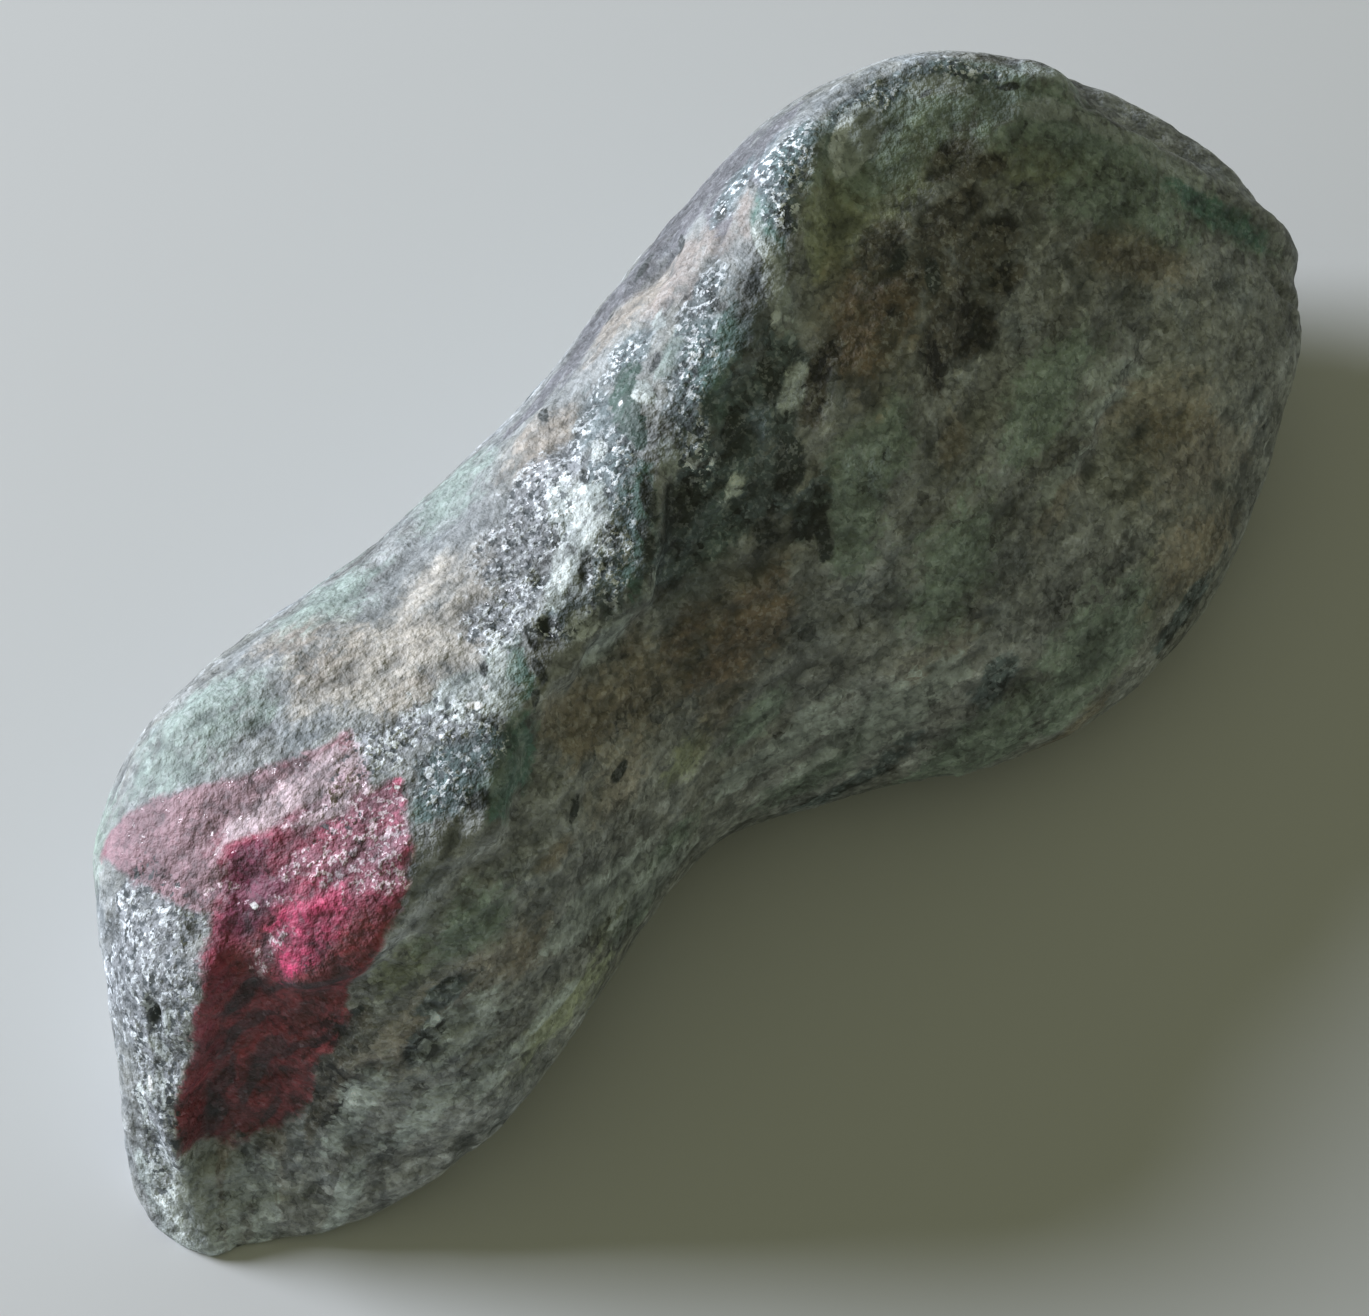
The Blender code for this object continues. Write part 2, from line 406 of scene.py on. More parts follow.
# the landforms' height in mm: each lump is a soft dome over its oval, each crease a drop past
# its path that rises again further away
def landformHeights(landforms, points, around, skin, ragged):
    height = np.zeros(points.shape[:2])
    for along, rail, length, width, turn, rise in landforms["lumps"]:
        spot = flatSpot(points, around, skin, along, rail)
        height += rise * softStep(0, 0.9, ovalCloseness(ragged, spot, length, width, turn))
    for path, drop, reach, back, fade in landforms["creases"]:
        places = [flatSpot(points, around, skin, *place) for place in path]
        distance, share = pathDistance(ragged, places)
        ends = softStep(0, fade, share) * softStep(0, fade, 1 - share)
        past = -distance
        height -= drop * ends * softStep(0, reach, past) * (1 - softStep(reach, back, past))
    for path, rise, approach, fall, fade in landforms["ridges"]:
        places = [flatSpot(points, around, skin, *place) for place in path]
        distance, share = pathDistance(ragged, places)
        ends = softStep(0, fade, share) * softStep(0, fade, 1 - share)
        past = -distance
        height += rise * ends * softStep(-approach, 0, past) * (1 - softStep(0, fall, past))
    return height


# the rough skin's height in mm, how far each place is raised by the finer layers, from -1 to
# 1, and how deep it lies in a pit or a groove, from 0 to 1; the last three are only used to paint
# shade
def reliefHeights(relief, points):
    turn = relief["streakTurn"]
    height = np.zeros(points.shape[:2])
    for cell, rise, stretch, seed in relief["layers"]:
        height += rise * latticeNoise(points, cell, seed, stretch, turn)
    fine = np.zeros(points.shape[:2])
    for cell, rise, stretch, seed in relief["fineLayers"]:
        fine += rise * latticeNoise(points, cell, seed, stretch, turn)
    paintedReliefShade = np.clip(fine / (2.2 * fine.std()), -1, 1)
    paintedGrooveShade = np.zeros(points.shape[:2])
    for cell, rise, stretch, seed in relief["grains"]:
        nearest, second = scatterDistances(points, cell, seed, stretch, turn)
        patchy = softStep(-0.5, 0.5, latticeNoise(points, 4 * cell, seed + 1))
        groove = patchy * (1 - softStep(0, 0.30, second - nearest))
        height -= rise * (groove + patchy * nearest ** 2)
        paintedGrooveShade = np.maximum(paintedGrooveShade, groove)
    paintedPitShade = np.zeros(points.shape[:2])
    for cell, depth, low, high, seed in relief["pits"]:
        pit = softStep(low, high, latticeNoise(points, cell, seed, 1.6, turn))
        height -= depth * pit
        paintedPitShade = np.maximum(paintedPitShade, pit)
    return height + fine, paintedReliefShade, paintedPitShade, paintedGrooveShade


# a grid of points closed with a fan at each end, as one mesh object that carries the given
# values at its points
def closedGrid(name, points, values):
    steps, columns = points.shape[:2]
    row, column = np.meshgrid(np.arange(steps - 1), np.arange(columns), indexing="ij")
    following = (column + 1) % columns
    quads = np.stack([row * columns + column, row * columns + following,
                      (row + 1) * columns + following, (row + 1) * columns + column], -1)
    head, tail = steps * columns, steps * columns + 1
    ring = np.arange(columns)
    after = (ring + 1) % columns
    headFan = np.stack([np.full(columns, head), after, ring], -1)
    lastRow = (steps - 1) * columns
    tailFan = np.stack([np.full(columns, tail), lastRow + ring, lastRow + after], -1)
    vertices = np.concatenate([points.reshape(-1, 3), [points[0].mean(0)], [points[-1].mean(0)]])
    mesh = bpy.data.meshes.new(name)
    mesh.vertices.add(len(vertices))
    mesh.vertices.foreach_set("co", vertices.astype(np.float32).ravel())
    corners = np.concatenate([quads.reshape(-1), headFan.reshape(-1), tailFan.reshape(-1)])
    faceSizes = np.concatenate([np.full(quads.size // 4, 4), np.full(2 * columns, 3)])
    mesh.loops.add(len(corners))
    mesh.loops.foreach_set("vertex_index", corners.astype(np.int32))
    mesh.polygons.add(len(faceSizes))
    starts = np.concatenate([[0], np.cumsum(faceSizes)[:-1]])
    mesh.polygons.foreach_set("loop_start", starts.astype(np.int32))
    mesh.update(calc_edges=True)
    mesh.validate()
    for label, value in values.items():
        layer = mesh.attributes.new(label, "FLOAT", "POINT")
        flat = np.concatenate([value.ravel(), [value[0].mean(), value[-1].mean()]])
        layer.data.foreach_set("value", flat.astype(np.float32))
    mesh.shade_smooth()
    piece = bpy.data.objects.new(name, mesh)
    bpy.context.collection.objects.link(piece)
    return piece


# where the minerals lie: ovals of (along, rail, length, width), with a turn
# in degrees where there is one
stoneMinerals = {
    "slate": [
        (-9.0, 5.78, 4.0, 2.2, -20), (-5.0, 5.6, 4.2, 2.6, -20), (-0.5, 5.5, 3.4, 2.2, -20),
        (-12.0, 5.95, 2.4, 1.4, -45),
    ],
    "dark": [
        (-1.6, 5.7, 1.8, 1.0), (-4.2, 5.36, 1.5, 0.9), (-6.0, 5.33, 1.5, 1.1),
        (-7.4, 5.66, 1.6, 1.0, -45), (-9.4, 5.58, 1.4, 0.8, -45), (0.9, 5.55, 1.5, 1.1),
        (2.9, 5.72, 1.1, 0.6), (-11.4, 5.72, 1.2, 0.6, -45), (-7.6, 5.08, 1.2, 0.6),
        (-4.6, 5.65, 1.4, 0.8), (-12.6, 5.62, 1.0, 0.6, -45), (-10.4, 3.52, 1.2, 0.8),
        (-24.6, 2.98, 2.0, 0.6), (31.1, 4.69, 1.2, 0.5), (33.5, 4.41, 1.2, 0.6),
        (-0.8, 2.89, 2.2, 0.5), (-3.0, 9.6, 2.4, 1.6, 20), (26.0, 9.8, 2.0, 1.2, -20),
        (-30.0, 9.3, 2.0, 1.4, 60), (-20.0, 8.7, 1.8, 1.0, -30), (-5.0, 8.6, 1.6, 0.8, 20),
        (14.0, 9.4, 1.8, 1.0, -20), (33.0, 8.7, 1.4, 0.8, -30), (-38.0, 9.4, 1.6, 1.0),
        (2.0, 9.2, 1.2, 0.6, -40), (20.0, 8.6, 1.2, 0.6, -30),
    ],
    "umber": [
        (-27.2, 5.26, 1.6, 1.0), (-29.4, 5.25, 1.2, 0.8), (-28.5, 5.06, 1.4, 0.9),
        (-24.6, 5.19, 1.6, 1.1), (-23.8, 5.02, 1.6, 1.1), (-22.9, 5.42, 1.6, 0.9),
        (-32.6, 5.3, 1.1, 0.6), (-24.0, 4.87, 1.5, 0.8), (-30.2, 5.03, 1.2, 0.7),
        (-21.5, 4.98, 1.7, 0.9), (-14.2, 5.48, 1.3, 0.6), (-12.1, 5.44, 1.1, 0.6),
        (-19.0, 5.22, 1.0, 0.5), (37.9, 4.86, 1.4, 0.7), (38.2, 4.6, 1.3, 0.6),
        (38.9, 4.36, 1.3, 0.6), (40.3, 4.36, 1.2, 0.5), (-28.2, 4.9, 1.2, 0.6),
        (-31.0, 5.45, 1.2, 0.6),
    ],
    "hornblende": [
        (-7.7, 5.33, 1.0, 0.7), (-6.0, 5.73, 0.8, 0.5), (-1.2, 5.69, 0.8, 0.5, -30),
        (-0.2, 5.8, 1.0, 0.35, -45), (-6.7, 4.88, 0.7, 0.35, -45), (-10.3, 5.71, 0.8, 0.4, -45),
        (11.0, 6.08, 0.45, 0.4), (2.9, 5.9, 0.8, 0.3, -45), (0.7, 6.0, 0.7, 0.3, -45),
        (8.8, 6.45, 0.33, 0.25), (6.8, 6.15, 0.5, 0.22, -45), (4.4, 6.18, 0.4, 0.2, -45),
        (17.1, 4.99, 0.5, 0.2, -45), (13.3, 4.79, 0.5, 0.25), (30.7, 4.74, 0.45, 0.2),
        (36.1, 5.01, 0.35, 0.12, 10), (-19.3, 6.11, 0.5, 0.3, -45), (-13.9, 6.24, 0.4, 0.25),
        (42.9, 6.15, 0.35, 0.4), (22.7, 5.8, 0.7, 0.3), (-24.2, 5.17, 0.9, 0.35, -45),
        (-23.1, 5.33, 0.7, 0.3), (-38.1, 5.83, 0.3, 0.2), (-33.2, 5.86, 0.3, 0.15),
        (-3.8, 5.15, 0.7, 0.4, 30), (6.4, 6.62, 0.45, 0.18, -45), (2.0, 6.8, 0.4, 0.16, -60),
        (13.4, 6.55, 0.4, 0.16, -30), (12.4, 6.2, 0.5, 0.2, -60), (15.8, 6.4, 0.35, 0.15, -45),
        (9.6, 6.95, 0.35, 0.15, -45), (-6.4, 6.95, 0.45, 0.2, -45), (-12.2, 6.55, 0.5, 0.2, -60),
        (-17.6, 7.05, 0.45, 0.2, -30), (-15.0, 7.42, 0.5, 0.22, -45), (-19.6, 6.75, 0.4, 0.2, -45),
        (-1.0, 7.6, 0.45, 0.2, -45), (13.8, 5.95, 0.5, 0.22, -60), (15.4, 5.9, 0.4, 0.2, -45),
        (-13.0, 7.75, 0.6, 0.25), (-9.2, 7.75, 0.5, 0.2), (41.0, 6.85, 0.3, 0.15, 40),
        (43.0, 6.6, 0.35, 0.15, 60), (44.4, 6.05, 0.35, 0.14, 60), (41.5, 6.3, 0.3, 0.14, 20),
        (45.2, 6.6, 0.3, 0.14, 60), (-26.0, 8.5, 0.6, 0.25, -30), (-15.0, 8.6, 0.5, 0.2, -45),
        (5.0, 8.6, 0.5, 0.2, -30), (18.0, 9.1, 0.6, 0.25, -20), (30.0, 9.2, 0.5, 0.2, -45),
        (37.0, 8.9, 0.5, 0.22, -30), (-34.0, 9.2, 0.6, 0.25, 20), (-8.0, 9.6, 0.6, 0.25, -20),
        (24.0, 8.6, 0.4, 0.18, -40),
    ],
    "brown": [
        (-17.4, 5.5, 2.0, 1.5), (-16.0, 5.27, 1.9, 1.3), (-20.4, 5.24, 2.0, 1.4),
        (1.0, 4.88, 3.0, 1.8), (4.6, 4.92, 2.2, 1.6), (3.7, 4.44, 2.4, 1.2, -20),
        (8.5, 5.06, 2.0, 1.3, -45), (15.2, 5.59, 1.2, 0.8), (23.5, 4.41, 1.8, 1.1),
        (20.2, 4.88, 1.2, 0.5), (-36.9, 4.54, 2.4, 1.6), (-17.6, 4.68, 1.2, 0.9),
        (33.2, 4.43, 1.6, 1.0), (10.0, 9.5, 2.4, 1.4, 10), (-20.0, 10.0, 2.2, 1.4),
        (-14.0, 2.61, 2.4, 0.8), (12.5, 5.3, 2.2, 1.2), (-27.5, 3.2, 3.0, 1.5),
        (-32.0, 3.75, 2.0, 1.0),
    ],
    "rust": [
        (-15.7, 5.43, 1.4, 1.0), (-17.7, 5.45, 1.5, 0.9), (-19.8, 5.35, 1.5, 0.9),
        (-20.9, 5.22, 1.4, 0.8), (-16.7, 5.27, 1.3, 0.8), (0.3, 4.74, 2.2, 1.1),
        (-1.0, 4.64, 1.5, 0.8), (2.7, 4.73, 1.6, 0.9), (3.3, 5.05, 1.3, 0.8),
    ],
    "olive": [
        (-23.0, 5.74, 3.2, 1.9, -30), (-19.8, 5.8, 1.5, 1.0, -45), (-26.0, 5.66, 2.6, 1.8),
        (-29.5, 5.6, 2.0, 1.3), (-36.3, 5.21, 2.4, 1.4), (32.4, 5.11, 1.4, 0.9),
        (7.7, 4.21, 1.4, 0.8), (45.0, 5.52, 2.2, 0.35), (43.0, 5.49, 1.0, 0.3),
        (24.3, 3.56, 3.0, 1.2), (17.0, 3.71, 2.4, 1.2), (2.0, 10.2, 2.0, 1.4),
        (-40.0, 8.3, 2.4, 1.6),
    ],
    "green": [
        (-28.0, 5.72, 2.6, 1.4), (-32.8, 5.66, 2.4, 1.4), (-37.6, 5.7, 3.0, 1.5),
        (-39.6, 5.35, 3.4, 2.0), (-41.5, 4.95, 2.8, 2.0), (-38.5, 4.8, 2.6, 1.8),
        (-24.2, 4.42, 2.6, 1.5), (-27.2, 4.42, 2.6, 1.2), (-11.0, 4.96, 2.2, 1.5),
        (-13.6, 4.99, 1.6, 1.2), (-9.0, 4.85, 1.8, 1.2), (3.1, 4.07, 1.8, 0.8),
        (16.5, 3.44, 1.6, 1.0), (27.6, 5.11, 2.0, 1.2), (-15.4, 3.31, 3.4, 1.9),
        (-10.4, 3.09, 2.6, 1.5), (-12.2, 4.27, 3.0, 1.8), (0.4, 3.27, 2.8, 1.1),
        (-44.6, 4.69, 2.4, 1.8), (-7.0, 3.0, 2.6, 1.2), (-19.5, 3.3, 2.4, 1.4),
        (12.8, 3.6, 2.2, 0.9), (-32.0, 8.7, 5.0, 2.6, 10), (-12.0, 9.2, 6.0, 2.6, -8),
        (9.0, 8.8, 5.0, 2.4, 5), (27.0, 9.0, 5.0, 2.6, -10), (40.0, 8.6, 3.4, 1.8, 20),
    ],
    "teal": [
        (-10.0, 6.18, 1.5, 1.0), (-7.4, 6.13, 1.5, 0.9, -45), (22.1, 5.92, 1.6, 1.0),
        (-18.1, 6.29, 1.4, 0.6, -45), (20.6, 5.78, 1.5, 1.0, -45), (18.0, 5.74, 1.6, 0.6, -45),
        (-44.6, 4.79, 1.8, 1.3), (14.6, 6.16, 1.4, 0.5, -45), (-22.6, 6.34, 1.4, 0.7),
        (-6.9, 5.82, 1.4, 0.7, -45), (-2.4, 5.5, 2.0, 1.2), (-9.3, 6.47, 1.2, 0.6, -45),
        (5.0, 5.78, 1.2, 0.6, -45), (23.5, 5.94, 1.4, 0.8), (21.5, 6.02, 1.6, 0.9),
        (18.1, 5.86, 1.2, 0.6), (2.4, 6.06, 1.8, 0.6, -45), (0.7, 6.05, 1.0, 0.5, -45),
    ],
    "flatGreen": [
        (-3.6, 6.88, 1.2, 0.6, -45), (-2.5, 6.62, 0.9, 0.45, -45), (-4.8, 7.05, 0.7, 0.45, -45),
    ],
    "mint": [
        (14.5, 6.33, 1.5, 0.7, -45), (17.6, 6.36, 0.9, 0.7), (29.5, 7.29, 2.6, 1.9),
        (32.7, 7.19, 1.6, 1.4), (27.7, 7.04, 1.6, 0.9), (17.5, 7.77, 2.4, 1.8),
        (6.1, 7.99, 2.4, 1.8), (-7.6, 6.75, 1.2, 0.8), (-25.5, 6.02, 2.2, 0.9),
        (20.6, 5.82, 0.9, 0.6, -45), (18.6, 5.76, 0.9, 0.35, -45), (-31.0, 5.95, 2.6, 0.7),
        (-37.0, 5.98, 2.6, 0.7), (-40.8, 5.97, 1.6, 0.6), (-42.0, 5.3, 2.4, 1.1),
        (-37.5, 5.62, 2.0, 0.6), (14.8, 6.3, 1.6, 0.6, -45), (16.8, 6.02, 1.0, 0.4, -45),
    ],
    "pale": [
        (6.3, 6.36, 1.5, 0.6, -35), (4.2, 6.87, 1.0, 0.5, -45), (3.4, 6.5, 0.8, 0.55),
        (-16.0, 6.06, 1.7, 0.5, -45), (-4.7, 6.7, 0.55, 0.35, -45), (18.0, 6.29, 1.5, 0.9, 30),
        (16.8, 6.18, 0.8, 0.5), (9.0, 6.26, 0.7, 0.45, -45), (-9.5, 7.12, 0.6, 0.4),
        (-30.6, 4.2, 1.6, 0.4, 10), (-27.5, 4.16, 1.8, 0.35, 10), (-22.7, 4.13, 1.8, 0.4, 10),
        (-10.9, 5.57, 0.9, 0.4), (-4.3, 5.49, 0.7, 0.35), (-2.2, 6.09, 0.9, 0.35, -45),
        (-0.7, 5.78, 0.6, 0.35), (4.3, 5.61, 0.7, 0.35), (-28.0, 5.98, 0.9, 0.6),
        (-40.5, 5.96, 1.0, 0.4), (-38.5, 5.53, 0.35, 0.2), (-34.2, 5.89, 1.0, 0.5),
        (48.9, 6.6, 0.8, 0.6, -45), (31.2, 4.34, 1.8, 0.9), (30.9, 3.82, 1.8, 0.7),
        (41.5, 3.25, 2.2, 0.8), (9.0, 5.54, 1.0, 0.7), (27.7, 7.05, 0.6, 0.2),
        (-5.0, 3.6, 2.6, 0.9), (48.4, 4.1, 2.0, 1.4), (24.7, 3.74, 1.6, 0.4),
        (49.5, 4.8, 1.2, 1.0), (46.0, 3.3, 2.4, 0.9), (38.5, 4.21, 1.8, 0.8),
        (35.5, 3.8, 1.8, 0.7), (48.4, 5.98, 1.4, 0.6), (47.8, 4.85, 1.0, 0.6),
        (46.9, 4.84, 1.3, 0.8), (45.3, 4.3, 1.7, 0.6), (46.6, 4.08, 1.6, 0.7),
        (17.5, 3.92, 2.4, 0.9), (20.5, 4.22, 2.2, 0.8), (14.6, 3.45, 2.2, 0.7),
        (-1.8, 3.62, 2.4, 0.7), (1.0, 3.7, 2.0, 0.6), (4.6, 3.62, 1.8, 0.6),
        (-39.5, 5.58, 1.8, 0.5), (-42.4, 5.45, 1.5, 0.5), (-44.0, 5.15, 1.2, 0.7),
        (-26.5, 5.86, 1.2, 0.5), (12.6, 3.35, 1.6, 0.5),
    ],
    "white": [
        (18.3, 6.25, 1.0, 0.55, -30), (17.3, 6.24, 0.6, 0.35, -45), (14.6, 6.33, 0.8, 0.3, -45),
        (-15.7, 6.12, 0.9, 0.3, -45), (-14.3, 5.99, 0.8, 0.3, -45), (-16.5, 6.24, 0.7, 0.25, -45),
        (-4.3, 6.69, 0.35, 0.22, -45), (4.6, 6.3, 0.8, 0.35, -45), (0.4, 6.86, 0.6, 0.25, -45),
        (3.7, 6.63, 0.8, 0.35, -45), (9.2, 5.86, 0.6, 0.35), (48.6, 6.32, 0.5, 0.4),
        (49.2, 4.82, 0.8, 0.6), (48.2, 5.24, 0.7, 0.4), (45.6, 6.22, 0.45, 0.35),
        (46.5, 6.6, 0.5, 0.3), (47.3, 5.72, 0.6, 0.3), (-25.9, 6.0, 1.0, 0.3, -30),
        (7.5, 6.4, 0.8, 0.3, -45), (45.0, 5.95, 0.6, 0.4), (43.6, 6.05, 0.5, 0.35),
        (48.0, 5.5, 0.7, 0.45), (42.2, 6.0, 0.5, 0.25), (48.6, 6.0, 0.7, 0.4),
    ],
    "bluish": [
        (-21.2, 7.08, 6.0, 3.4), (-1.7, 7.38, 8.0, 3.4), (18.3, 7.3, 7.0, 3.2),
        (36.3, 7.36, 4.0, 3.0), (43.0, 6.73, 3.4, 2.6),
    ],
    "beige": [
        (21.6, 7.02, 2.2, 1.5), (1.6, 7.42, 1.8, 1.5), (19.8, 6.6, 1.5, 0.6),
        (17.6, 6.92, 1.7, 1.1), (-0.1, 7.38, 1.5, 1.2), (-8.5, 7.6, 1.8, 1.2),
        (21.1, 7.49, 1.8, 1.4), (-11.0, 7.45, 1.6, 0.9),
    ],
    "cream": [
        (18.2, 6.98, 2.6, 1.2), (16.5, 6.74, 2.2, 1.3), (12.9, 6.86, 2.6, 1.2),
        (15.6, 6.6, 1.9, 0.9), (20.6, 6.8, 2.2, 1.2), (20.4, 6.5, 1.6, 0.7),
        (10.5, 6.98, 2.0, 1.2), (23.5, 6.92, 1.6, 0.8), (13.3, 7.25, 1.8, 0.9),
        # the three ovals on the tip's ledge are partly its pale colour and partly painted light
        # that lifts the shade below the step above it
        (46.6, 4.9, 1.5, 0.9), (45.6, 4.62, 1.4, 0.6), (47.7, 4.62, 1.2, 0.8),
    ],
    "rose": [
        (-13.4, 7.2, 1.8, 1.1), (-16.1, 6.96, 1.5, 0.9, -45), (-17.7, 6.72, 1.2, 0.6, -45),
        (-11.8, 6.85, 1.2, 0.7, -45), (-10.4, 7.25, 1.4, 0.8),
    ],
    # painted glints: near-white spots where crystal faces catch the light
    "glossAndPaintedGlint": [
        (36.0, 6.08, 0.2, 0.13, 60), (25.7, 6.17, 0.16, 0.11, -45), (16.9, 6.25, 0.15, 0.13),
        (45.6, 6.27, 0.22, 0.18), (18.5, 6.22, 0.3, 0.18), (-3.1, 6.86, 0.16, 0.12),
        (44.6, 6.38, 0.15, 0.12), (29.9, 6.46, 0.14, 0.1),
    ],
    # speckled white on blue grey
    "frost": [
        (-1.7, 7.08, 1.8, 0.9, -45), (2.7, 6.4, 2.4, 0.8, -45), (6.6, 5.97, 1.8, 0.7, -45),
        (-20.7, 6.33, 2.0, 1.1, -45), (-23.2, 6.36, 1.6, 1.0), (-6.9, 6.33, 1.8, 0.9, -45),
        (-4.6, 6.05, 1.5, 0.8, -45), (-19.4, 7.05, 1.6, 0.8), (-11.0, 6.75, 1.8, 0.8),
        (24.1, 5.9, 1.0, 0.7), (22.2, 6.07, 1.4, 0.9), (-6.6, 7.2, 1.6, 0.7),
        (-1.0, 7.12, 1.6, 0.8), (-29.8, 6.07, 2.6, 0.7), (-35.0, 6.0, 1.8, 0.6),
        (-9.6, 6.57, 1.6, 1.0, -45), (9.8, 6.04, 1.0, 0.6), (0.5, 6.6, 1.6, 0.9, -45),
        (11.4, 6.55, 1.2, 0.7), (21.6, 6.02, 1.6, 0.8), (23.6, 5.98, 1.2, 0.6),
        (19.8, 6.02, 1.2, 0.6),
    ],
    # speckled white and black on light grey
    "speckled": [
        (42.0, 6.75, 3.0, 2.0, 20), (40.4, 6.35, 1.6, 1.2), (44.5, 6.3, 2.4, 1.2),
        (41.0, 6.0, 1.2, 0.6), (43.3, 5.85, 1.6, 0.5), (46.5, 6.3, 1.6, 1.0),
        (39.2, 6.6, 1.2, 0.8), (39.4, 6.95, 1.6, 0.8), (47.8, 6.2, 1.2, 0.8),
        (22.4, 6.37, 2.2, 0.9), (20.2, 6.22, 1.2, 0.7), (24.4, 6.45, 1.6, 0.7),
        (7.4, 6.9, 2.4, 1.5), (11.8, 6.6, 2.0, 1.1), (3.6, 7.15, 2.0, 1.2), (26.6, 6.4, 1.2, 0.5),
        (29.4, 6.22, 1.0, 0.3), (42.0, 5.92, 1.8, 0.7), (44.6, 5.8, 1.8, 0.7),
        (46.4, 5.75, 1.2, 0.6),
    ],
    "warmGrey": [
        (31.6, 4.55, 2.6, 1.6), (27.5, 4.7, 2.2, 1.2), (46.2, 4.6, 1.8, 0.9),
        (44.0, 4.1, 1.8, 0.9), (11.0, 5.2, 2.6, 1.4), (36.0, 4.5, 2.0, 1.2),
        (-31.3, 3.6, 3.2, 1.8), (-8.0, 3.9, 2.6, 1.4), (13.5, 4.7, 2.0, 1.1),
        (-26.0, 3.4, 2.2, 0.9), (-32.0, 3.95, 2.6, 1.4), (-21.7, 4.1, 2.2, 0.8),
    ],
    "lilac": [
        (-14.1, 7.85, 3.0, 1.2), (-9.6, 7.95, 2.6, 1.0), (-5.8, 7.92, 2.4, 0.9),
        (-18.6, 7.62, 2.6, 1.2), (-21.4, 7.4, 2.4, 1.2), (-1.5, 7.92, 1.8, 0.6),
        (-16.9, 6.97, 0.9, 0.5, -45), (-17.9, 7.25, 0.8, 0.5, -45), (-20.8, 6.75, 1.2, 0.7, -45),
        (-24.2, 7.1, 2.2, 0.9),
    ],
    "rubyShade": [
        (35.3, 5.3, 2.6, 1.4), (37.6, 5.3, 2.6, 1.7), (39.6, 5.2, 2.6, 2.2), (41.2, 5.0, 2.6, 2.2),
        (42.8, 4.85, 2.4, 2.0), (44.3, 4.9, 2.2, 2.0), (40.3, 4.7, 2.4, 1.8),
        (45.4, 5.15, 1.8, 1.2), (33.2, 5.36, 1.8, 0.8),
    ],
    "rubyStreak": [
        (39.6, 5.56, 1.1, 0.22, 25), (37.7, 5.47, 1.0, 0.18, 25), (41.6, 5.36, 1.1, 0.25, 25),
        (40.2, 5.29, 0.9, 0.18, 25), (41.3, 4.99, 1.3, 0.28, 25), (39.8, 4.91, 0.9, 0.18, 25),
        (44.6, 5.18, 1.1, 0.35, 25), (42.4, 4.98, 1.0, 0.22, 25), (35.8, 5.4, 0.9, 0.18, 25),
        (38.2, 4.91, 0.7, 0.15, 25), (43.4, 5.2, 1.0, 0.25, 25), (42.6, 4.6, 0.9, 0.2, 25),
    ],
    "rubyDusty": [
        (37.3, 7.07, 2.2, 1.3), (35.6, 6.85, 2.2, 1.2), (33.8, 6.7, 2.2, 1.0),
        (31.7, 6.66, 2.2, 0.8), (29.7, 6.6, 2.2, 0.7), (38.6, 6.7, 1.8, 1.3),
        (37.5, 6.45, 1.2, 0.8), (39.4, 6.95, 1.4, 0.9),
    ],
    "rubyPale": [
        (30.9, 6.52, 1.8, 0.4), (29.3, 6.52, 1.8, 0.6), (27.4, 6.46, 1.6, 0.7),
        (28.6, 6.34, 1.2, 0.4), (26.8, 6.36, 0.9, 0.5),
    ],
    "rubyFilm": [
        (27.0, 6.2, 1.5, 0.9), (29.3, 6.06, 1.5, 0.6), (28.3, 5.95, 1.4, 0.4),
        (26.0, 6.3, 0.9, 0.7), (26.4, 6.04, 0.9, 0.5), (29.1, 5.78, 0.8, 0.4),
        (30.7, 5.98, 1.1, 0.35), (29.7, 5.86, 1.3, 0.35), (37.1, 5.72, 1.0, 0.3),
        (29.0, 6.38, 1.2, 0.3), (32.0, 6.18, 0.9, 0.3), (36.8, 6.3, 0.6, 0.2, 30),
        (34.8, 6.02, 0.5, 0.16, 30),
    ],
    "rubyDeep": [
        (36.0, 6.12, 1.3, 0.7), (35.0, 6.1, 0.9, 0.5), (36.9, 5.98, 0.7, 0.35),
        (34.4, 6.36, 1.0, 0.45), (35.8, 6.26, 1.0, 0.6), (37.2, 6.06, 0.7, 0.35),
    ],
    # the ruby's bright face: partly its own crimson, partly painted light that this face catches
    "rubyBright": [
        (34.0, 5.81, 1.4, 0.8), (35.8, 5.66, 1.2, 0.5), (32.3, 5.92, 0.9, 0.5),
        (25.3, 6.2, 0.5, 0.3), (27.6, 5.87, 1.0, 0.16), (26.3, 6.02, 0.6, 0.2),
    ],
}

# the ruby's outline, as (along, rail)
rubyOutline = [
    (38.7, 7.64), (37.1, 7.45), (34.9, 7.09), (32.5, 6.87), (30.6, 6.76), (28.4, 6.70),
    (26.2, 6.64), (24.8, 6.57), (25.6, 6.42), (26.6, 6.28), (25.2, 6.28), (24.6, 6.22),
    (25.7, 6.07), (27.9, 5.84), (30.0, 5.59), (32.3, 5.42), (35.2, 5.16), (36.8, 4.89),
    (38.8, 4.66), (40.8, 4.44), (42.7, 4.36), (44.5, 4.52), (45.9, 5.09), (46.4, 5.56),
    (44.9, 5.64), (43.3, 5.70), (41.7, 5.76), (40.2, 5.86), (39.4, 6.02), (38.4, 6.16),
    (38.1, 6.25), (38.9, 6.46), (39.1, 6.79), (39.3, 7.25),
]


